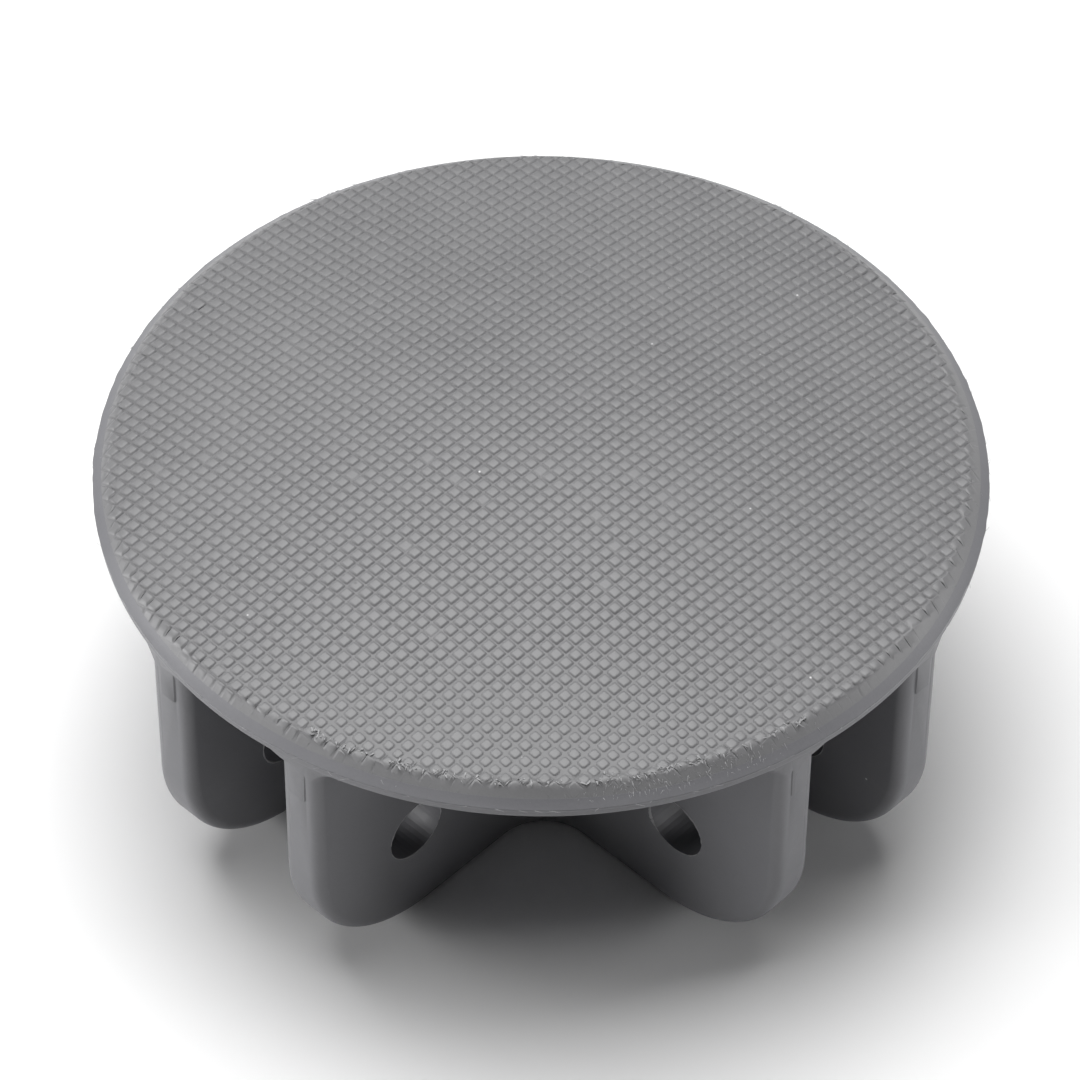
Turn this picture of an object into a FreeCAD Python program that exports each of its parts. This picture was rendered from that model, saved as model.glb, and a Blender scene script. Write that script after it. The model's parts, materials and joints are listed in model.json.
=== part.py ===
import FreeCAD, Part
import math
import os

# Domed round cover standing on a grid of four crossing ribs, in millimetres, +Z up.
# The origin is the middle of the footprint, on the surface that the feet stand on.
# X and Y run along the ribs. Two ribs run along X and two along Y, halved into each other
# where they cross.

# Cover plate
disc_diameter = 136.0       # across the round plate
edge_height = 3.8           # from the plate's underside up to the foot of the dome
seam_drop = 2.1             # from the foot of the dome down to the parting line
underside_round = 0.5       # the plate's lower outer edge
crown_rise = 6.7            # middle of the top above the foot of the dome
crown_sag = 2.2             # how much flatter the dome is halfway out than a plain bowl
rim_width = 3.0             # smooth sloping band between the tread pad and the outer edge
rim_hollow = 0.22           # dip of the band's middle below a straight slope from lip to seam

# Tread pad
pad_thickness = 1.2

# Ribs
rib_depth = 50.0            # from the plate's underside down to the feet
rib_thickness = 7.7
rib_gap = 19.8              # clear gap between two parallel ribs
end_clearance = 0.02        # from a rib's rounded outer corner to the plate's lower edge
foot_round = 23.0           # large round under each rib end
corner_round = 8.2          # upright hollow corner between crossing ribs, outside
cell_round = 4.5            # the same corner between parallel ribs
root_round = 3.5            # hollow corner between a rib and the plate
edge_round = 2.0            # the ribs' own outer edges
lap_height = 25.0           # height above the feet where crossing ribs are halved

# Small raised pads high on the ribs' flat ends
end_pad_width = 3.2
end_pad_drop = 8.5          # from the plate's underside down to the pad's lower edge
end_pad_rise = 0.25

# Pin holes across each pair of ribs
pin_hole_diameter = 10.6
pin_hole_inset = 20.3       # from the ribs' flat end to the hole's middle
pin_hole_height = 19.2      # above the feet

disc_radius = disc_diameter / 2
flat_radius = disc_radius - underside_round
pad_radius = disc_radius - rim_width
edge_top = rib_depth + edge_height
rib_inner = rib_gap / 2
rib_outer = rib_inner + rib_thickness
rib_offset = (rib_inner + rib_outer) / 2
corner_reach = flat_radius - end_clearance - edge_round
rib_reach = math.sqrt(corner_reach ** 2 - (rib_outer - edge_round) ** 2) + edge_round
pin_hole_reach = rib_reach - pin_hole_inset
beyond = 2 * disc_radius    # long enough to cut past everything
crown_steps = 8             # points that carry the dome's curve
near = 0.001                # two places closer than this are the same place

up = FreeCAD.Vector(0, 0, 1)
origin = FreeCAD.Vector(0, 0, 0)


def section_point(x, z):
    return FreeCAD.Vector(x, 0, z)


def straight(start, end):
    return Part.LineSegment(start, end).toShape()


def arc(start, middle, end):
    return Part.Arc(start, middle, end).toShape()


def crown(radius):
    """Height of the domed top above its foot, at a radius."""
    q = (radius / disc_radius) ** 2
    return (1 - q) * (crown_rise - crown_sag * q)


def crown_line(lowered):
    """Curve along the dome from the middle to the pad's edge, lowered by an amount."""
    radii = [pad_radius * step / crown_steps for step in range(crown_steps + 1)]
    line = Part.BSplineCurve()
    line.interpolate([section_point(r, edge_top + crown(r) - lowered) for r in radii])
    return line


def revolved(edges):
    return Part.Face(Part.Wire(edges)).revolve(origin, up, 360)


def tread_pad():
    """Thin domed sheet that fills the recess in the plate's top."""
    top = crown_line(0)
    bottom = crown_line(pad_thickness)
    rim_side = straight(top.EndPoint, bottom.EndPoint)
    axis_side = straight(bottom.StartPoint, top.StartPoint)
    return revolved([top.toShape(), rim_side, bottom.toShape(), axis_side])


def cover_plate():
    """Round plate with a recess for the tread pad, a sloping rim and a flat underside."""
    recess = crown_line(pad_thickness)
    lip = section_point(pad_radius, edge_top + crown(pad_radius))
    seam = section_point(disc_radius, edge_top - seam_drop)
    shoulder_x = pad_radius + rim_width / 2
    shoulder_z = (lip.z + seam.z) / 2 - rim_hollow
    edge_foot = section_point(disc_radius, rib_depth + underside_round)
    cut_in = underside_round * (1 - math.sqrt(0.5))
    edge_middle = section_point(disc_radius - cut_in, rib_depth + cut_in)
    under = section_point(flat_radius, rib_depth)
    centre = section_point(0, rib_depth)
    edges = [
        recess.toShape(),
        straight(recess.EndPoint, lip),
        arc(lip, section_point(shoulder_x, shoulder_z), seam),
        straight(seam, edge_foot),
        arc(edge_foot, edge_middle, under),
        straight(under, centre),
        straight(centre, recess.StartPoint),
    ]
    return revolved(edges)


def block(x_from, x_to, y_from, y_to, z_from, z_to):
    corner = FreeCAD.Vector(x_from, y_from, z_from)
    return Part.makeBox(x_to - x_from, y_to - y_from, z_to - z_from, corner)


def turned(shape, degrees):
    copy = shape.copy()
    copy.rotate(origin, up, degrees)
    return copy


def rib_blank():
    """The rib behind the middle, along X: flat upright ends with a large round under each."""
    cut_in = foot_round * (1 - math.sqrt(0.5))
    foot_x = rib_reach - foot_round
    outline = [
        straight(section_point(-rib_reach, rib_depth), section_point(-rib_reach, foot_round)),
        arc(
            section_point(-rib_reach, foot_round),
            section_point(cut_in - rib_reach, cut_in),
            section_point(-foot_x, 0),
        ),
        straight(section_point(-foot_x, 0), section_point(foot_x, 0)),
        arc(
            section_point(foot_x, 0),
            section_point(rib_reach - cut_in, cut_in),
            section_point(rib_reach, foot_round),
        ),
        straight(section_point(rib_reach, foot_round), section_point(rib_reach, rib_depth)),
        straight(section_point(rib_reach, rib_depth), section_point(-rib_reach, rib_depth)),
    ]
    plate = Part.Face(Part.Wire(outline)).extrude(FreeCAD.Vector(0, rib_thickness, 0))
    plate.translate(FreeCAD.Vector(0, rib_inner, 0))
    return plate


def is_upright(edge):
    box = edge.BoundBox
    return box.XLength < near and box.YLength < near


def upright_edges(shape, first, second):
    """Upright edges whose distances from the middle, along X and Y, are the two given."""
    found = []
    for edge in shape.Edges:
        place = edge.Vertexes[0].Point
        if is_upright(edge) and abs(abs(place.x) - first) < near and abs(abs(place.y) - second) < near:
            found.append(edge)
    return found


def root_edges(shape):
    """Edges where the ribs meet the plate's underside."""
    found = []
    for edge in shape.Edges:
        box = edge.BoundBox
        reach = max(abs(box.XMin), abs(box.XMax), abs(box.YMin), abs(box.YMax))
        if abs(box.ZMin - rib_depth) < near and abs(box.ZMax - rib_depth) < near and reach < disc_radius:
            found.append(edge)
    return found


def is_smooth_line(edge):
    """True for a line across a rib where its round runs on into a flat face."""
    box = edge.BoundBox
    middle = edge.valueAt((edge.FirstParameter + edge.LastParameter) / 2)
    along = max(abs(middle.x), abs(middle.y))
    at_end = abs(box.ZMin - foot_round) < near and box.ZLength < near
    at_foot = abs(box.ZMax) < near and abs(along - rib_reach + foot_round) < near
    return at_end or at_foot


def outer_edges(shape):
    """The ribs' edges that a hand can touch: the upright ones on the ends and all those below."""
    found = []
    for edge in shape.Edges:
        box = edge.BoundBox
        if box.ZMin > rib_depth - near or is_smooth_line(edge):
            continue
        reach = max(abs(box.XMin), abs(box.XMax), abs(box.YMin), abs(box.YMax))
        if is_upright(edge) and reach < rib_reach - near:
            continue
        found.append(edge)
    return found


def pin_holes():
    """Four round bars, one across each pair of ribs' ends."""
    bar_length = 2 * (rib_outer + edge_round)
    start = FreeCAD.Vector(-bar_length / 2, pin_hole_reach, pin_hole_height)
    bar = Part.makeCylinder(pin_hole_diameter / 2, bar_length, start, FreeCAD.Vector(1, 0, 0))
    return [turned(bar, quarter * 90) for quarter in range(4)]


def end_pads():
    """Raised pads on the eight flat ends, from the plate down."""
    pads = []
    for side in (-1, 1):
        left = side * rib_offset - end_pad_width / 2
        pad = block(
            left, left + end_pad_width,
            rib_reach - edge_round, rib_reach + end_pad_rise,
            rib_depth - end_pad_drop, rib_depth,
        )
        pads += [turned(pad, quarter * 90) for quarter in range(4)]
    return pads


def rib_grid():
    """All four ribs as one rounded body, before they are parted."""
    blank = rib_blank()
    grid = blank.multiFuse([turned(blank, quarter * 90) for quarter in (1, 2, 3)]).removeSplitter()
    grid = grid.makeFillet(corner_round, upright_edges(grid, rib_outer, rib_outer))
    cell_edges = upright_edges(grid, rib_inner, rib_inner)
    cell_edges += upright_edges(grid, rib_inner, rib_outer)
    cell_edges += upright_edges(grid, rib_outer, rib_inner)
    grid = grid.makeFillet(cell_round, cell_edges)
    ceiling = block(-beyond, beyond, -beyond, beyond, rib_depth, rib_depth + edge_height)
    hung = grid.fuse(ceiling).removeSplitter()
    hung = hung.makeFillet(edge_round, outer_edges(hung))
    hung = hung.makeFillet(root_round, root_edges(hung))
    hung = hung.multiFuse(end_pads())
    within = Part.makeCylinder(flat_radius, rib_depth)
    return hung.common(within).cut(Part.makeCompound(pin_holes())).removeSplitter()


def prism(corners):
    points = [FreeCAD.Vector(x, y, 0) for x, y in corners]
    return Part.Face(Part.makePolygon(points + points[:1])).extrude(up * rib_depth)


def rib_zone():
    """The space of the rib behind the middle, parted from its neighbours on the diagonals."""
    wide = beyond - rib_offset
    right = prism([(rib_offset, rib_offset), (beyond, rib_offset - wide), (beyond, rib_offset + wide)])
    left = right.mirror(origin, FreeCAD.Vector(1, 0, 0))
    middle = prism([(rib_offset, rib_offset), (0, 2 * rib_offset), (-rib_offset, rib_offset), (0, 0)])
    behind = block(-beyond, beyond, 0, beyond, 0, rib_depth)
    return right.multiFuse([left, middle]).common(behind)


def crossings(z_from, z_to):
    """The rib's two crossings, between two heights."""
    right = block(rib_inner, rib_outer, rib_inner, rib_outer, z_from, z_to)
    left = block(-rib_outer, -rib_inner, rib_inner, rib_outer, z_from, z_to)
    return Part.makeCompound([right, left])


def ribs():
    """The four ribs by name, halved together: those along X are whole at the top."""
    grid = rib_grid()
    zone = rib_zone().cut(crossings(0, rib_depth))
    over = zone.multiFuse(crossings(lap_height, rib_depth).Solids)
    under = zone.multiFuse(crossings(0, lap_height).Solids)
    return {
        "rib_rear": grid.common(over),
        "rib_left": grid.common(turned(under, 90)),
        "rib_front": grid.common(turned(over, 180)),
        "rib_right": grid.common(turned(under, 270)),
    }


def save(name, shape):
    solid = shape.Solids[0] if len(shape.Solids) == 1 else shape
    print(name, "solids", len(shape.Solids), "valid", solid.isValid(), "volume", round(solid.Volume, 1))
    solid.exportStep(f"parts/{name}.step")


os.makedirs("parts", exist_ok=True)
save("cover_plate", cover_plate())
save("tread_pad", tread_pad())
for rib_name, rib_shape in ribs().items():
    save(rib_name, rib_shape)
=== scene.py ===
import json
import math

import bmesh
import bpy
import numpy as np
from mathutils import Matrix, Vector


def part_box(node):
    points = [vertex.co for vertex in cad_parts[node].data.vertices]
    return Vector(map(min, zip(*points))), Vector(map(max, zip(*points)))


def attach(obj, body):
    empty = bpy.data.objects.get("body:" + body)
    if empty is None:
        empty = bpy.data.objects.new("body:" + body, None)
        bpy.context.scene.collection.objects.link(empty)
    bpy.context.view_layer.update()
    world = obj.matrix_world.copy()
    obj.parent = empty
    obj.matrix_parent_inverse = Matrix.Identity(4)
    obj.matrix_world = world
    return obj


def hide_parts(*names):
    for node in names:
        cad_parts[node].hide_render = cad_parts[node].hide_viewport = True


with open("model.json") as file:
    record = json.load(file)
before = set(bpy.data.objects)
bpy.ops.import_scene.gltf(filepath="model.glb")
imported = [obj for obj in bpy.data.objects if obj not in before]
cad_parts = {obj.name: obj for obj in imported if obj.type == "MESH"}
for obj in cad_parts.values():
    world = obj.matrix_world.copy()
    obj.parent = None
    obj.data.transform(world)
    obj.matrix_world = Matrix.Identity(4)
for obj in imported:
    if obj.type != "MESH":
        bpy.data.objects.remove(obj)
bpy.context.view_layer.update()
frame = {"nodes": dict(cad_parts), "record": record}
print("frame loaded:", sorted(frame["nodes"]))

mm = 0.001

# heights and radii that the CAD pieces give, in millimetres
plateLow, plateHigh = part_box("cover_plate")
padLow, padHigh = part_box("tread_pad")
discRadius = round((plateHigh.x - plateLow.x) / 2 / mm, 1)
padRadius = round((padHigh.x - padLow.x) / 2 / mm, 1)
underside = plateLow.z / mm
crownTop = padHigh.z / mm


def meshPiece(name, points, groups, material, attributes=None, flat=()):
    # points in millimetres; each group is an array of corner numbers, one row a face; flat groups are faceted
    points = np.asarray(points, np.float64).reshape(-1, 3) * mm
    groups = [np.asarray(group, np.int32) for group in groups]
    corners = np.concatenate([group.ravel() for group in groups])
    sides = np.concatenate([np.full(len(group), group.shape[1]) for group in groups])
    smooth = np.concatenate([np.full(len(group), k not in flat) for k, group in enumerate(groups)])
    mesh = bpy.data.meshes.new(name)
    mesh.vertices.add(len(points))
    mesh.vertices.foreach_set("co", points.astype(np.float32).ravel())
    mesh.loops.add(len(corners))
    mesh.loops.foreach_set("vertex_index", corners)
    mesh.polygons.add(len(sides))
    mesh.polygons.foreach_set("loop_start", (np.cumsum(sides) - sides).astype(np.int32))
    mesh.polygons.foreach_set("use_smooth", smooth)
    for key, values in (attributes or {}).items():
        layer = mesh.attributes.new(key, "FLOAT", "POINT")
        layer.data.foreach_set("value", np.asarray(values, np.float32).ravel())
    mesh.update(calc_edges=True)
    mesh.materials.append(material)
    piece = bpy.data.objects.new(name, mesh)
    bpy.context.scene.collection.objects.link(piece)
    return piece


def meshCorners(mesh):
    # all points of a mesh, one row each, in metres
    corners = np.empty(len(mesh.vertices) * 3, np.float32)
    mesh.vertices.foreach_get("co", corners)
    return corners.reshape(-1, 3)


def joinPoints(mesh, distance):
    # points closer than this become one, so that seams and poles close
    work = bmesh.new()
    work.from_mesh(mesh)
    bmesh.ops.remove_doubles(work, verts=work.verts, dist=distance * mm)
    work.to_mesh(mesh)
    work.free()
    mesh.update()


def gridFaces(rows, columns, wrap=False):
    # quads between neighbouring rows and columns of a grid, closed round the columns if it wraps
    lastColumn = columns if wrap else columns - 1
    row, column = np.meshgrid(np.arange(rows - 1), np.arange(lastColumn), indexing="ij")
    nextColumn = (column + 1) % columns
    a = row * columns + column
    b = row * columns + nextColumn
    return np.stack([a, b, b + columns, a + columns], -1).reshape(-1, 4)


def smoothStep(low, high, value):
    # 0 below low, 1 above high, and 3t2 - 2t3 between
    t = np.clip((value - low) / (high - low), 0, 1)
    return t * t * (3 - 2 * t)


def waves(seed, count, shortest, longest):
    # a soft random field over the plane: a sum of sine waves of random direction, length and phase
    rng = np.random.default_rng(seed)
    turn = rng.uniform(0, 2 * np.pi, count)
    length = np.exp(rng.uniform(np.log(shortest), np.log(longest), count))
    phase = rng.uniform(0, 2 * np.pi, count)
    size = np.sqrt(length / length.sum())

    def field(x, y):
        total = np.zeros(np.broadcast(x, y).shape)
        for k in range(count):
            along = x * np.cos(turn[k]) + y * np.sin(turn[k])
            total = total + size[k] * np.sin(2 * np.pi * along / length[k] + phase[k])
        return total

    return field


class Wire:
    # one output of a node, so that shader maths reads as maths

    def __init__(self, board, out):
        self.board = board
        self.out = out

    def maths(self, operation, first, second=0.0):
        return self.board.add("ShaderNodeMath", {"operation": operation}, {0: first, 1: second})

    def __add__(self, other):
        return self.maths("ADD", self, other)

    __radd__ = __add__

    def __mul__(self, other):
        return self.maths("MULTIPLY", self, other)

    __rmul__ = __mul__

    def __sub__(self, other):
        return self.maths("SUBTRACT", self, other)

    def __rsub__(self, other):
        return self.maths("SUBTRACT", other, self)

    def above(self, low, high):
        # 0 below low, 1 above high, a straight slope between
        return self.board.add(
            "ShaderNodeMapRange", {"clamp": True}, {"Value": self, "From Min": low, "From Max": high}
        )


class Board:
    # the node board of one material

    def __init__(self, name):
        self.material = bpy.data.materials.new(name)
        self.material.use_nodes = True
        self.tree = self.material.node_tree
        self.tree.nodes.clear()

    def add(self, kind, settings=None, sockets=None, out=0):
        # a node of one type: its settings first, then the value or link of each socket
        node = self.tree.nodes.new(kind)
        for key, value in (settings or {}).items():
            setattr(node, key, value)
        for key, value in (sockets or {}).items():
            if isinstance(value, Wire):
                self.tree.links.new(value.out, node.inputs[key])
            else:
                node.inputs[key].default_value = value
        return Wire(self, node.outputs[out]) if len(node.outputs) else node

    def place(self, scale=(1, 1, 1), turn=(0, 0, 0)):
        # the object's own coordinates in metres, stretched and turned
        spot = self.add("ShaderNodeTexCoord", out="Object")
        return self.add("ShaderNodeMapping", None, {"Vector": spot, "Scale": scale, "Rotation": turn})

    def noise(self, where, perMetre, detail=2.0, rough=0.5):
        # cloudy noise between 0 and 1
        sockets = {"Vector": where, "Scale": perMetre, "Detail": detail, "Roughness": rough}
        return self.add("ShaderNodeTexNoise", None, sockets, "Fac")

    def spots(self, where, perMetre, size):
        # small round dots, one in each random cell, on the share of cells whose own number is high
        sockets = {"Vector": where, "Scale": perMetre}
        distance = self.add("ShaderNodeTexVoronoi", None, sockets, "Distance")
        cell = self.add("ShaderNodeTexVoronoi", None, sockets, "Color")
        number = self.add("ShaderNodeSeparateColor", None, {"Color": cell})
        return (1 - distance.above(size * 0.5, size)) * number.above(0.72, 0.76)

    def tint(self, factor, first, second):
        # on a Mix node the colours are inputs 6 and 7, and the mixed colour is output 2
        return self.add("ShaderNodeMix", {"data_type": "RGBA"}, {0: factor, 6: first, 7: second}, 2)

    def bump(self, height, distance, strength=1.0, under=None):
        sockets = {"Height": height, "Distance": distance, "Strength": strength}
        if under:
            sockets["Normal"] = under
        return self.add("ShaderNodeBump", None, sockets)

    def finish(self, sockets):
        # one shader with these sockets, straight to the surface
        shader = self.add("ShaderNodeBsdfPrincipled", None, sockets)
        self.add("ShaderNodeOutputMaterial", None, {"Surface": shader})
        return self.material


def grey(level, blue=0.0):
    # a grey with a little more blue than red and green
    return (level, level, level + blue, 1.0)


plasticLook = {
    "body": 0.152,
    "bodyBlue": 0.010,
    "tread": 0.170,
    "treadBlue": 0.004,
    "torn": 0.30,           # fresh torn plastic is paler
    "tornBlue": 0.006,
    "dust": 0.72,
    "roughness": 0.44,
}


def mouldedPlastic(name, level, blue, marks=1.0, paintedGrooveShade=False):
    # satin moulded plastic: cloudy tone, fine grain, faint scuffs, rare pale dust and dark nicks, and where
    # asked painted shade that darkens the tread's grooves
    look = plasticLook
    board = Board(name)
    spot = board.place()
    cloud = board.noise(spot, 45, 3, 0.55)
    grain = board.noise(spot, 2600, 2, 0.6)
    peel = board.noise(spot, 620, 2, 0.5)
    streakPlace = board.place((30, 520, 160), (0.3, 0.5, 0.9))
    streak = board.noise(streakPlace, 1.0, 3, 0.6).above(0.66, 0.78)
    scuff = streak * board.noise(spot, 38, 2, 0.5).above(0.54, 0.66)
    dust = board.spots(spot, 150, 0.035)
    nick = board.spots(board.place((1, 1, 1), (0.4, 0.1, 0.7)), 95, 0.03)
    colour = board.tint(cloud.above(0.3, 0.7), grey(level * 0.94, blue), grey(level * 1.06, blue))
    colour = board.tint(grain.above(0.35, 0.65) * 0.30, colour, grey(level * 1.12, blue))
    colour = board.tint(scuff * 0.16 * marks, colour, grey(level * 2.0, blue))
    if paintedGrooveShade:
        # painted shade: the colour darkens at the foot of each square and over the net between squares, where
        # shade falls
        side = board.add("ShaderNodeAttribute", {"attribute_name": "grooveShade"}, None, "Fac")
        colour = board.tint(side * 0.34, colour, grey(level * 0.45, blue))
    colour = board.tint(nick * 0.55, colour, grey(level * 0.35, blue))
    colour = board.tint(dust * 0.75, colour, grey(look["dust"]))
    rough = look["roughness"] + (cloud - 0.5) * 0.16 + (grain - 0.5) * 0.10 + scuff * 0.12 * marks
    fine = board.bump(grain, 0.00002, 0.55)
    soft = board.bump(peel, 0.00005, 0.5, fine)
    lined = board.bump(scuff, 0.00003, 0.5, soft)
    return board.finish({"Base Color": colour, "Roughness": rough, "Normal": lined, "IOR": 1.48})


bodyGrey = mouldedPlastic("body grey plastic", plasticLook["body"], plasticLook["bodyBlue"])
# the tread's finish darkens its grooves with painted shade
treadGrey = mouldedPlastic("tread grey plastic", plasticLook["tread"], plasticLook["treadBlue"], 0.6, True)
paleTorn = mouldedPlastic("pale torn plastic", plasticLook["torn"], plasticLook["tornBlue"], 0.2)
print("finishes made")

treadShape = {
    "seed": 3,
    "pitch": 2.0,             # from one square to the next
    "turn": -1.94,            # degrees from the ribs
    "shift": (0.14, -0.14),   # in pitches
    "foot": 0.458,            # half the width of a square at its foot, in pitches
    "shoulder": 0.415,        # the same where its rounded top begins
    "crest": 0.270,           # the same where the top is nearly level
    "corner": 0.055,          # how far a square's corners are cut back, in pitches
    "height": 0.26,
    "shoulderDrop": 0.085,
    "crestDrop": 0.020,
    "wornSide": 43.6,         # degrees round from the front rib
    "wornFrom": 34.0,         # distance towards that side where the wear begins
    "wornTo": 66.0,           # and where it is full
    "wornSmaller": 0.12,      # what full wear takes off a square's width, as a share
    "wornLower": 0.30,        # and off its height
    "wornCorner": 0.07,       # and off its corners, in pitches
    "edge": 66.7,             # radius where the textured sheet meets the plain rim
    "middle": (-0.85, -0.1),  # the squares' round field is a little off the plate's middle
    "groundFrom": 64.2,       # distance from that middle where the net begins to rise to the rim
    "groundTo": 65.6,
    "fadeFrom": 65.3,         # and where the squares begin to run out
    "fadeTo": 65.9,
    "wander": 0.40,           # how unevenly they run out
    "ragged": 0.03,           # unevenness of the ground along the worn edge
    "thick": 1.0,
}
edgeHeight = 3.8
domeShape = {"sag": 2.2, "rise": crownTop - underside - edgeHeight, "foot": underside + edgeHeight}


def crown(radius):
    # height of the dome: (1 - q)(rise - sag q) above its foot, q being the radius ratio squared
    q = (radius / discRadius) ** 2
    return domeShape["foot"] + (1 - q) * (domeShape["rise"] - domeShape["sag"] * q)


rimShape = {"steep": 1.2, "lipRound": 0.08, "seamDrop": 2.1}


def topHeight(radius):
    # the dome as far as the lip, then drop (a g + (1 - a) g squared) down to the seam, where
    # g = s squared (1 + k) / (s + k), s running 0 to 1 across the band and k rounding the lip
    lip = crown(padRadius)
    drop = lip - domeShape["foot"] + rimShape["seamDrop"]
    past = np.clip((radius - padRadius) / (discRadius - padRadius), 0, 1)
    eased = past ** 2 * (1 + rimShape["lipRound"]) / (past + rimShape["lipRound"])
    bend = rimShape["steep"] * eased + (1 - rimShape["steep"]) * eased ** 2
    return np.where(radius > padRadius, lip - drop * bend, crown(radius))


edgeWave = waves(5, 24, 2.0, 30.0)
sinkWave = waves(11, 18, 22.0, 70.0)


def surfaceSink(x, y):
    # the slow unevenness of a moulded top, a few hundredths deep
    return -0.035 * (1 + sinkWave(x, y))


def treadSquares(shape):
    # the middle and the small differences of every square, smaller and rougher towards the worn side
    rng = np.random.default_rng(shape["seed"])
    cells = int(shape["edge"] / shape["pitch"]) + 2
    row, column = np.meshgrid(np.arange(-cells, cells + 1), np.arange(-cells, cells + 1), indexing="ij")
    middle = np.stack([row.ravel(), column.ravel()], -1) + np.array(shape["shift"])
    far = np.hypot(middle[:, 0], middle[:, 1]) * shape["pitch"]
    middle, far = middle[far < shape["edge"] + 1.5], far[far < shape["edge"] + 1.5]
    count = len(middle)
    side = math.radians(shape["wornSide"] - shape["turn"])
    toward = (middle[:, 0] * math.sin(side) - middle[:, 1] * math.cos(side)) * shape["pitch"]
    worn = smoothStep(shape["wornFrom"], shape["wornTo"], toward)
    unruly = 0.35 + 1.1 * worn + 0.4 * smoothStep(55, 63, far)
    size = np.clip(1 + rng.normal(0, 0.026, count) * unruly - shape["wornSmaller"] * worn, 0.58, 1.05)
    move = rng.normal(0, 0.012, (count, 2)) * unruly[:, None]
    tall = np.clip(rng.normal(1, 0.09, count), 0.5, 1.3) * (1 - shape["wornLower"] * worn)
    tall = np.where(rng.random(count) < 0.010, 0.45, tall)  # one in a hundred came out short
    lean = rng.normal(0, 0.010, (count, 2))
    stretch = 1 + rng.normal(0, 0.02, (count, 2)) * unruly[:, None]
    corner = shape["corner"] + shape["wornCorner"] * worn + rng.uniform(-0.01, 0.02, count)
    return middle, size[:, None, None] * stretch[:, None], move, tall, lean, corner


def squareRings(shape, size, move, corner):
    # eight points round each square: the net on its border, then cut-cornered foot, shoulder and crest
    border = np.array([-1, 0, 1, 1, 1, 0, -1, -1]) / 2
    net = np.broadcast_to(np.stack([border, np.roll(border, 2)], -1), (len(move), 8, 2))
    alongSide = np.array([-1, 1, 0, 0, 1, -1, 0, 0])
    atSide = np.array([0, 0, 1, 1, 0, 0, -1, -1])
    rings = [net]
    for name, part in (("foot", 1.25), ("shoulder", 1.0), ("crest", 0.8)):
        near = shape[name] - corner * part
        x = near[:, None] * alongSide + shape[name] * atSide
        rings.append(np.stack([x, np.roll(x, 2, axis=1)], -1) * size + move[:, None])
    return np.stack(rings)  # ring, square, point, axis


def treadHeight(shape, x, y, held, own, tall, lean):
    # the top's height, less the sunken ground, plus each square's rise, which fades out at the field's edge
    fieldX, fieldY = shape["middle"]
    away = np.hypot(x - fieldX, y - fieldY)
    edge = shape["fadeFrom"] + shape["wander"] * edgeWave(x, y)
    fade = 1 - smoothStep(edge, edge + shape["fadeTo"] - shape["fadeFrom"], away)
    fade = fade * (1 - smoothStep(shape["edge"] - 0.5, shape["edge"], held))
    tops = [0, 0, shape["height"] - shape["shoulderDrop"], shape["height"] - shape["crestDrop"]]
    tops = np.array(tops)[:, None, None]
    rise = tops * tall[None, :, None] * fade
    rise = rise + (own * lean[None, :, None]).sum(-1) * (tops > 0) * fade
    ragged = smoothStep(63.6, 65.2, away) * (1 - smoothStep(66.0, 66.6, away)) * smoothStep(20, 60, x - y)
    ragged = shape["ragged"] * ragged * (edgeWave(x * 1.7 + 40, y * 1.7) - 0.6)
    ground = shape["height"] * (1 - smoothStep(shape["groundFrom"], shape["groundTo"], away))
    return topHeight(held) + surfaceSink(x, y) + ragged - ground + rise, fade


def treadPad(shape):
    # raised squares in a sunken net, with a skirt and a flat underside; the painted shade of the grooves is 1
    # at the foot of a square, less on the net, none on the tops
    middle, size, move, tall, lean, corner = treadSquares(shape)
    rings = squareRings(shape, size, move, corner)
    uv = (rings + middle[None, :, None]) * shape["pitch"]
    turn = math.radians(shape["turn"])
    x = uv[..., 0] * math.cos(turn) - uv[..., 1] * math.sin(turn)
    y = uv[..., 0] * math.sin(turn) + uv[..., 1] * math.cos(turn)
    radius = np.hypot(x, y)
    # points past the pad's edge are brought onto its circle
    shrink = np.minimum(1, shape["edge"] / radius)
    x, y, held = x * shrink, y * shrink, np.minimum(radius, shape["edge"])
    z, fade = treadHeight(shape, x, y, held, rings - move[None, :, None], tall, lean)
    # painted shade in the grooves: 1 at a square's foot, 0.75 on the net, 0.1 on the shoulder, none on the
    # crest, gone where the squares fade out
    grooveShade = np.array([0.75, 1.0, 0.1, 0.0])[:, None, None] * fade
    number = np.arange(z.size).reshape(z.shape)
    after = np.roll(number, -1, axis=2)
    bands = [np.stack([number[k], after[k], after[k + 1], number[k + 1]], -1) for k in range(3)]
    tops = number[3]
    out = (radius >= shape["edge"]).ravel()
    bands = [band.reshape(-1, 4) for band in bands]
    bands = [band[~out[band].all(1)] for band in bands]
    tops = tops[~out[tops].all(1)]
    points = np.stack([x, y, z], -1).reshape(-1, 3)
    # neighbouring squares share the points of their outer rings
    key = np.round(points * 2000).astype(np.int64)
    _, first, same = np.unique(key, axis=0, return_index=True, return_inverse=True)
    same = same.reshape(-1)
    points, grooveShade, out = points[first], grooveShade.ravel()[first], out[first]
    bands = [same[band] for band in bands]
    tops = same[tops]
    # the skirt hangs from the points of the net that lie on the pad's edge
    used = np.zeros(len(points), bool)
    used[bands[0].ravel()] = True
    rim = np.flatnonzero(out & used)
    rim = rim[np.argsort(np.arctan2(points[rim, 1], points[rim, 0]))]
    lower = len(points) + np.arange(len(rim))
    points = np.concatenate([points, points[rim] - np.array([0, 0, shape["thick"]])])
    grooveShade = np.concatenate([grooveShade, np.zeros(len(rim))])
    skirt = np.stack([rim, lower, np.roll(lower, -1), np.roll(rim, -1)], -1)
    return points, [bands[0], np.concatenate(bands[1:]), tops, skirt, lower[None, ::-1]], grooveShade


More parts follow.
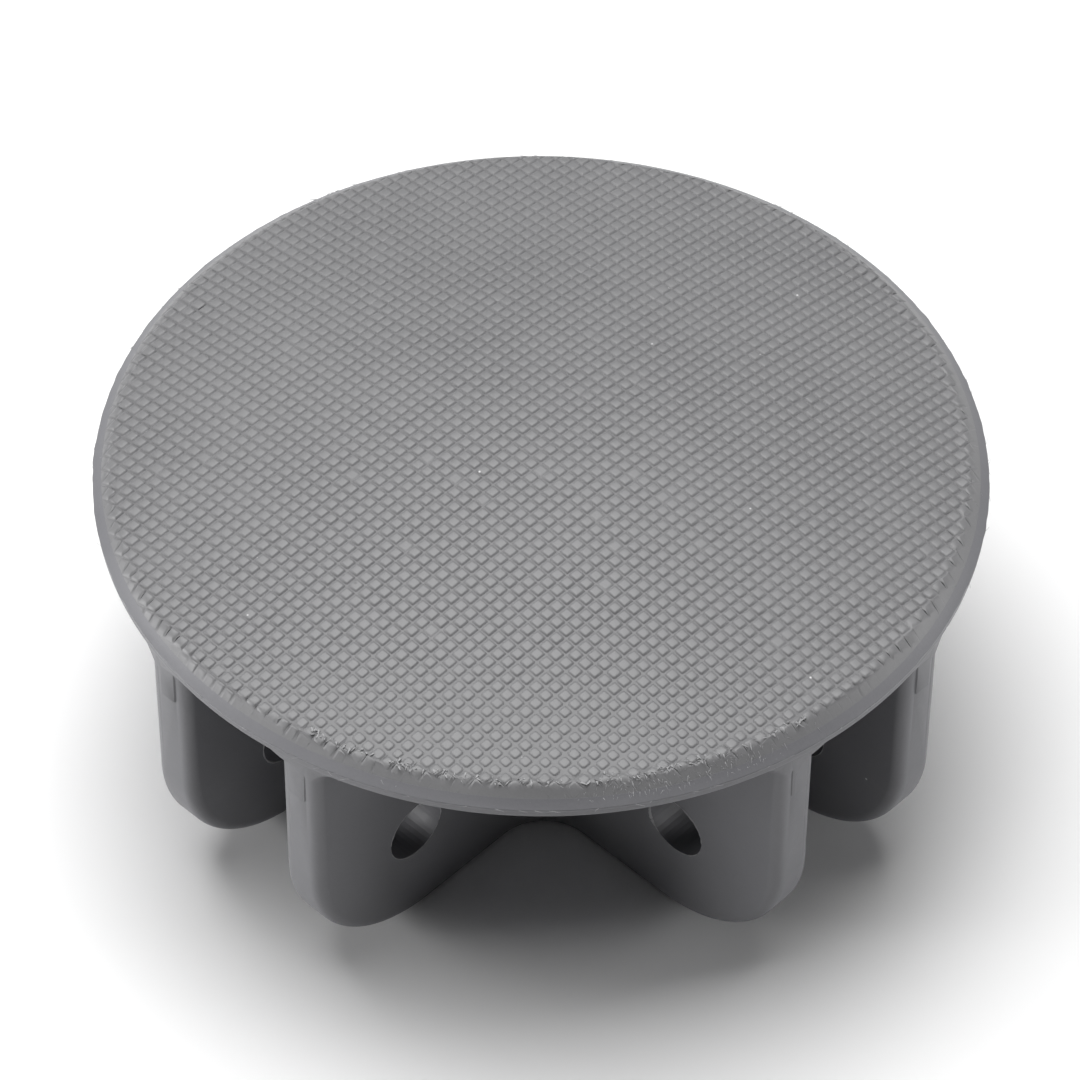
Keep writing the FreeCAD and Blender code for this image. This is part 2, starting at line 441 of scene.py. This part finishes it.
padPoints, padGroups, padGrooveShade = treadPad(treadShape)
# the net, the skirt and the underside are faceted, the squares smooth
pad = meshPiece("treadPad", padPoints, padGroups, treadGrey, {"grooveShade": padGrooveShade}, flat=(0, 3, 4))
pad.data.validate()
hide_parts("tread_pad")
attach(pad, "root")
print("tread pad:", len(padPoints), "points,", sum(len(group) for group in padGroups), "faces")

plateShape = {
    "recess": 1.2,          # depth of the seat under the pad
    "seamProud": 0.10,      # how far its flash stands out
    "seamTall": 0.16,
    "lowerRound": 0.5,
    "angles": 1800,
    "stripIn": 0.05,        # the lower half of the mould is this much smaller
}


def rimPoint(t):
    # radius and height on the sloping rim: pad radius + band width sin t, from the lip to a quarter turn
    r = padRadius + (discRadius - padRadius) * np.sin(t)
    return r, topHeight(r)


def ringProfile(shape):
    # half a section from the middle of the seat, out over the rim and back to the middle below
    edge = treadShape["edge"]
    lip = topHeight(edge)
    seam = domeShape["foot"] - rimShape["seamDrop"]
    seat = np.linspace(0, edge - 0.05, 6)
    seatRows = np.stack([seat, crown(seat) - shape["recess"]], -1)
    lipRows = np.array([[edge - 0.03, lip - 0.5], [edge - 0.015, lip - 0.01]])  # the wall of the seat
    start = math.asin((edge - padRadius) / (discRadius - padRadius))
    rimRows = np.stack(rimPoint(np.append(start, np.linspace(start + 0.006, np.pi / 2, 15))), -1)
    h, p = shape["seamTall"], shape["seamProud"]
    low = discRadius - shape["stripIn"]
    seamRows = np.array(
        [
            [discRadius, seam - 0.02],
            [discRadius + p * 0.7, seam - h * 0.35],
            [discRadius + p, seam - h * 0.55],
            [discRadius + p * 0.5, seam - h * 0.8],
            [low, seam - h],
        ]
    )
    a = np.linspace(0, np.pi / 2, 5)
    c = shape["lowerRound"]
    footRows = np.stack([low - c + c * np.cos(a), underside + c - c * np.sin(a)], -1)
    stripRows = np.array([[low, (seam - h) * 0.5 + (underside + c) * 0.5]])
    underRows = np.array([[60.0, underside], [30.0, underside], [0.0, underside]])
    return np.concatenate([seatRows, lipRows, rimRows, seamRows, stripRows, footRows, underRows])


def coverPlate(shape):
    # the section carried round the axis; the seam's flash grows and shrinks round the rim
    rows = ringProfile(shape)
    angle = np.linspace(0, 2 * np.pi, shape["angles"], endpoint=False)
    r = np.repeat(rows[:, :1], shape["angles"], 1)
    z = np.repeat(rows[:, 1:], shape["angles"], 1)
    proud = np.maximum(r - discRadius, 0)
    rng = np.random.default_rng(8)
    flash = np.zeros(shape["angles"])
    for k, (turns, size) in enumerate(zip(rng.integers(3, 140, 30), rng.uniform(0.3, 1, 30))):
        flash += size * np.sin(turns * angle + k)
    flash = np.clip(0.55 + 0.16 * flash, 0.1, 1.6)
    r = np.where(proud > 0, discRadius + proud * flash, r)
    x, y = r * np.cos(angle), r * np.sin(angle)
    z = z + surfaceSink(x, y) * smoothStep(domeShape["foot"] - 2.0, domeShape["foot"] - 0.7, z)
    points = np.stack([x, y, z], -1).reshape(-1, 3)
    faces = gridFaces(len(rows), shape["angles"], True)[:, ::-1]
    return points, faces


platePoints, plateFaces = coverPlate(plateShape)
plate = meshPiece("coverPlate", platePoints, [plateFaces], bodyGrey)
joinPoints(plate.data, 0.0005)
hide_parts("cover_plate")
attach(plate, "root")
print("cover plate:", len(platePoints), "points,", len(plateFaces), "quads")

ribNodes = ["rib_front", "rib_rear", "rib_left", "rib_right"]
ribShape = {
    "panelRise": 0.25,   # how far the shallow panels stand out from the rib ends in the CAD shape
    "panelShown": 0.04,  # the share of that which shows
    "sharpAngle": 32,
}


def smoothRib(node, shape):
    # the CAD shape with its loose triangles joined, smooth except over real corners, its end panels lowered
    mesh = frame["nodes"][node].data.copy()
    joinPoints(mesh, 0.002)
    corners = meshCorners(mesh)
    endLine = np.abs(corners[:, :2]).max() - shape["panelRise"] * mm
    proud = np.maximum(np.abs(corners[:, :2]) - endLine, 0)
    corners[:, :2] -= np.sign(corners[:, :2]) * proud * (1 - shape["panelShown"])
    mesh.vertices.foreach_set("co", corners.ravel())
    mesh.polygons.foreach_set("use_smooth", np.ones(len(mesh.polygons), bool))
    mesh.set_sharp_from_angle(angle=math.radians(shape["sharpAngle"]))
    mesh.materials.clear()
    mesh.materials.append(bodyGrey)
    rib = bpy.data.objects.new("rib" + node.split("_")[1].title(), mesh)
    bpy.context.scene.collection.objects.link(rib)
    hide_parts(node)
    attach(rib, "root")


for node in ribNodes:
    smoothRib(node, ribShape)
print("ribs joined and smoothed")


def strips(name, start, along, across, lift, length, width, steps):
    # short tapering strips: each runs along one direction, bends up by its lift and comes to a point
    t = np.linspace(0, 1, steps)[None, :, None]
    middle = start[:, None] + along[:, None] * length[:, None, None] * t
    middle = middle + lift[:, None] * t ** 2
    half = across[:, None] * width[:, None, None] * (1 - t ** 1.5) * 0.5 + across[:, None] * 0.004
    points = np.stack([middle - half, middle + half], 2)
    count = len(start)
    quads = gridFaces(steps, 2)
    faces = (quads[None] + (np.arange(count) * steps * 2)[:, None, None]).reshape(-1, 4)
    piece = meshPiece(name, points, [faces], paleTorn)
    thick = piece.modifiers.new("thickness", "SOLIDIFY")
    thick.thickness = 0.03 * mm
    thick.offset = 0.0
    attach(piece, "root")


def aroundAxis(angle):
    # outward and sideways directions at an angle measured round from the front
    out = np.stack([np.sin(angle), -np.cos(angle), np.zeros_like(angle)], -1)
    side = np.stack([np.cos(angle), np.sin(angle), np.zeros_like(angle)], -1)
    return out, side


tornShape = {
    "seed": 21,
    "count": 170,
    "side": 46.6,      # degrees round from the front rib
    "spread": 34.0,    # degrees to either side
    "radius": 64.5,
    "widest": 0.42,
    "longest": 1.2,
    "lift": 0.45,
    "steps": 5,
}


def tornEdge(shape):
    # ragged flakes of plastic along the worn side of the tread's edge, each leaning its own way
    rng = np.random.default_rng(shape["seed"])
    count = shape["count"]
    angle = np.radians(shape["side"] + shape["spread"] * rng.uniform(-1, 1, count))
    out, side = aroundAxis(angle)
    radius = rng.normal(shape["radius"], 0.35, count)
    start = out * radius[:, None]
    start[:, 2] = topHeight(radius) - 0.05
    lean = rng.normal(0, 0.6, count)[:, None]
    along = out * np.cos(lean) + side * np.sin(lean)
    across = side * np.cos(lean) - out * np.sin(lean)
    lift = np.stack([np.zeros(count), np.zeros(count), rng.uniform(0.0, shape["lift"], count)], -1)
    length = rng.uniform(0.2, shape["longest"], count) * np.where(rng.random(count) < 0.05, 1.6, 1.0)
    along = along - np.array([0, 0, 0.13])
    width = rng.uniform(0.06, shape["widest"], count)
    strips("tornEdge", start, along, across, lift, length, width, shape["steps"])


scratchShape = {
    "seed": 33,
    "count": 260,
    "side": 43.6,      # degrees round from the front rib
    "offset": 17.0,    # three in four of them lie this far round from that side
    "spread": 9.0,
    "longest": 1.2,
    "widest": 0.09,
    "steps": 4,
}


def scratches(shape):
    # fine pale scratches that lie on the sloping rim, most of them running down it
    rng = np.random.default_rng(shape["seed"])
    count = shape["count"]
    gathered = rng.random(count) < 0.75
    near = rng.normal(shape["offset"], shape["spread"], count)
    angle = np.radians(shape["side"] + np.where(gathered, near, rng.uniform(-180, 180, count)))
    out, side = aroundAxis(angle)
    t = rng.uniform(0.1, 1.0, count)
    r, z = rimPoint(t)
    rNext, zNext = rimPoint(t + 0.05)
    down = out * (rNext - r)[:, None]
    down[:, 2] = zNext - z
    down /= np.linalg.norm(down, axis=1)[:, None]
    lean = rng.normal(0, 0.5, count)[:, None]
    start = out * r[:, None]
    start[:, 2] = z
    up = np.cross(side, down)
    up *= np.sign(up[:, 2:])
    start = start + up * 0.012 - np.array([0, 0, 0.05])  # the top sinks by about this much
    along = down * np.cos(lean) + side * np.sin(lean)
    across = side * np.cos(lean) - down * np.sin(lean)
    length = rng.uniform(0.15, shape["longest"], count)
    width = rng.uniform(0.02, shape["widest"], count)
    strips("rimScratches", start, along, across, up * 0.02, length, width, shape["steps"])


hairShape = {"seed": 45, "count": 90, "longest": 1.6, "widest": 0.13, "steps": 4}


def seamHairs(shape):
    # short hairs of flash left along the parting line, leaning along it one way or the other
    rng = np.random.default_rng(shape["seed"])
    count = shape["count"]
    angle = rng.uniform(0, 2 * np.pi, count)
    out, side = aroundAxis(angle)
    start = out * (discRadius + 0.02)
    start[:, 2] = domeShape["foot"] - rimShape["seamDrop"] - 0.08
    lean = rng.uniform(0.9, 1.5, count)[:, None] * rng.choice([-1, 1], count)[:, None]
    along = out * np.cos(lean) + side * np.sin(lean)
    across = np.broadcast_to(np.array([0, 0, 1.0]), along.shape)
    lift = [rng.normal(0, 0.04, count), rng.normal(0, 0.04, count), rng.normal(0.02, 0.12, count)]
    lift = np.stack(lift, -1)
    length = rng.uniform(0.3, shape["longest"], count)
    width = rng.uniform(0.05, shape["widest"], count)
    strips("seamFlash", start, along, across, lift, length, width, shape["steps"])


pinHole = next(mount for mount in frame["record"]["mounts"] if mount["name"] == "pin_hole_right")
burrShape = {
    "seed": 57,
    "radius": pinHole["dims"]["r_mm"],
    "height": pinHole["pos_m"][2] / mm,  # of a hole's middle above the feet
    "reach": pinHole["pos_m"][0] / mm,   # of a hole's middle from the plate's axis
    "proud": 0.15,
    "wide": 0.24,
    "angles": 180,
}


def flatSides(node, shape):
    # the axis that a rib's holes run along, and the two levels where its flat sides lie
    low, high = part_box(node)
    axis = int(np.argmin(np.array(high - low)[:2]))
    corners = meshCorners(frame["nodes"][node].data) / mm
    fromAxis = np.hypot(corners[:, 1 - axis] - shape["reach"], corners[:, 2] - shape["height"])
    onEdge = corners[np.abs(fromAxis - shape["radius"]) < 0.02, axis]
    return axis, onEdge.min(), onEdge.max()


def burrSize(rng, angle):
    # how thick the burr is round the hole: slow waves, fine noise and one ragged stretch low down
    wave = sum(rng.normal(0, 1) * np.sin(k * angle + rng.uniform(0, 6.3)) for k in (1, 2, 3, 7, 13, 23))
    rough = 0.50 + 0.15 * wave + rng.normal(0, 0.08, len(angle))
    away = np.abs((angle - rng.uniform(3.2, 4.6) + np.pi) % (2 * np.pi) - np.pi)
    ragged = rng.uniform(0.2, 2.2) * np.exp(-((away / 0.45) ** 2))
    return np.clip(rough + ragged * rng.uniform(0.4, 1.3, len(angle)), 0.12, 3.0)[:, None]


def holeBurrs(shape):
    # a thin uneven lip round both ends of every pin hole: a small half-round bead carried round the hole
    rng = np.random.default_rng(shape["seed"])
    angle = np.linspace(0, 2 * np.pi, shape["angles"], endpoint=False)
    section = np.linspace(0, np.pi, 5)
    ring = gridFaces(len(section), shape["angles"], True)
    base = 0
    faces = []
    points = []
    for node in ribNodes:
        axis, lowSide, highSide = flatSides(node, shape)
        for level, sign in ((lowSide, -1), (highSide, 1)):
            for end in (-1, 1):
                rough = burrSize(rng, angle)
                r = shape["radius"] + shape["wide"] * (0.1 - np.cos(section)[None]) * rough * 0.5
                proud = np.sin(section)[None] * shape["proud"] * rough - 0.02
                place = [None, None, shape["height"] + r * np.sin(angle)[:, None]]
                place[axis] = level + sign * proud
                place[1 - axis] = end * shape["reach"] + r * np.cos(angle)[:, None]
                points.append(np.stack(place, -1).transpose(1, 0, 2).reshape(-1, 3))
                turned = (sign > 0) == (axis == 0)
                faces.append((ring if turned else ring[:, ::-1]) + base)
                base += len(section) * shape["angles"]
    piece = meshPiece("holeBurrs", np.concatenate(points), [np.concatenate(faces)], paleTorn)
    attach(piece, "root")


tornEdge(tornShape)
scratches(scratchShape)
seamHairs(hairShape)
holeBurrs(burrShape)
print("torn edge, scratches, flash and burrs made")


def floorFinish():
    # matt and nearly white, with a faint cloud in it
    board = Board("pale floor")
    cloud = board.noise(board.place(), 3, 2, 0.5)
    colour = board.tint(cloud, grey(0.86), grey(0.89))
    return board.finish({"Base Color": colour, "Roughness": 0.75})


floorSide = 6000.0
floorCorners = [[-1, -1, 0], [1, -1, 0], [1, 1, 0], [-1, 1, 0]]
floor = meshPiece("floor", np.array(floorCorners) * floorSide, [[[0, 1, 2, 3]]], floorFinish())


def backward(azimuth, elevation):
    # direction from the object to something at this bearing, in degrees round from the front and up
    a, e = math.radians(azimuth), math.radians(elevation)
    return Vector((math.sin(a) * math.cos(e), -math.cos(a) * math.cos(e), math.sin(e)))


softboxes = {
    "softbox above": {"azimuth": 242, "elevation": 75, "distance": 1.15, "side": 1.05, "power": 20.0},
    "softbox left": {"azimuth": -42, "elevation": 10, "distance": 1.2, "side": 0.6, "power": 12.0},
    "softbox right": {"azimuth": 135, "elevation": 8, "distance": 1.2, "side": 0.5, "power": 6.5},
}


def softLight(name, place):
    # a square softbox that faces the middle of the object
    light = bpy.data.lights.new(name, "AREA")
    light.shape = "SQUARE"
    light.size = place["side"]
    light.energy = place["power"]
    box = bpy.data.objects.new(name, light)
    back = backward(place["azimuth"], place["elevation"])
    box.location = back * place["distance"]
    box.rotation_mode = "QUATERNION"
    box.rotation_quaternion = back.to_track_quat("Z", "Y")
    bpy.context.scene.collection.objects.link(box)


for name, place in softboxes.items():
    softLight(name, place)

world = bpy.data.worlds.new("studio")
bpy.context.scene.world = world
world.use_nodes = True
world.node_tree.nodes["Background"].inputs["Color"].default_value = (1, 1, 1, 1)
world.node_tree.nodes["Background"].inputs["Strength"].default_value = 0.04

cameraPlace = {
    "azimuth": 43.6,
    "elevation": 46.7,
    "distance": 0.8432,
    "roll": 0.4,
    "lens": 185.33,
    "aimDown": 0.01511,     # how far below the plate's middle the camera aims, as a slope
    "aimLeft": 0.00011,
}


def placeCamera(place):
    # looks from the given side at a point just below the plate's middle, rolled a little
    back = backward(place["azimuth"], place["elevation"])
    right = Vector((0, 0, 1)).cross(back).normalized()
    up = back.cross(right)
    target = Vector((0, 0, domeShape["foot"] * mm))
    eye = target + back * place["distance"]
    aim = target - (up * place["aimDown"] + right * place["aimLeft"]) * place["distance"]
    look = (aim - eye).normalized()
    right = look.cross(up).normalized()
    up = right.cross(look)
    roll = math.radians(place["roll"])
    rolledRight = right * math.cos(roll) + up * math.sin(roll)
    rolledUp = up * math.cos(roll) - right * math.sin(roll)
    camera = bpy.data.objects.new("camera", bpy.data.cameras.new("camera"))
    camera.data.lens = place["lens"]
    camera.data.sensor_width = 36.0
    camera.data.clip_start = 0.01
    camera.data.clip_end = 50.0
    turn = Matrix((rolledRight, rolledUp, -look)).transposed().to_4x4()
    camera.matrix_world = Matrix.Translation(eye) @ turn
    bpy.context.scene.collection.objects.link(camera)
    bpy.context.scene.camera = camera


placeCamera(cameraPlace)
bpy.context.scene.view_settings.view_transform = "Standard"
print("floor, lights and camera placed")
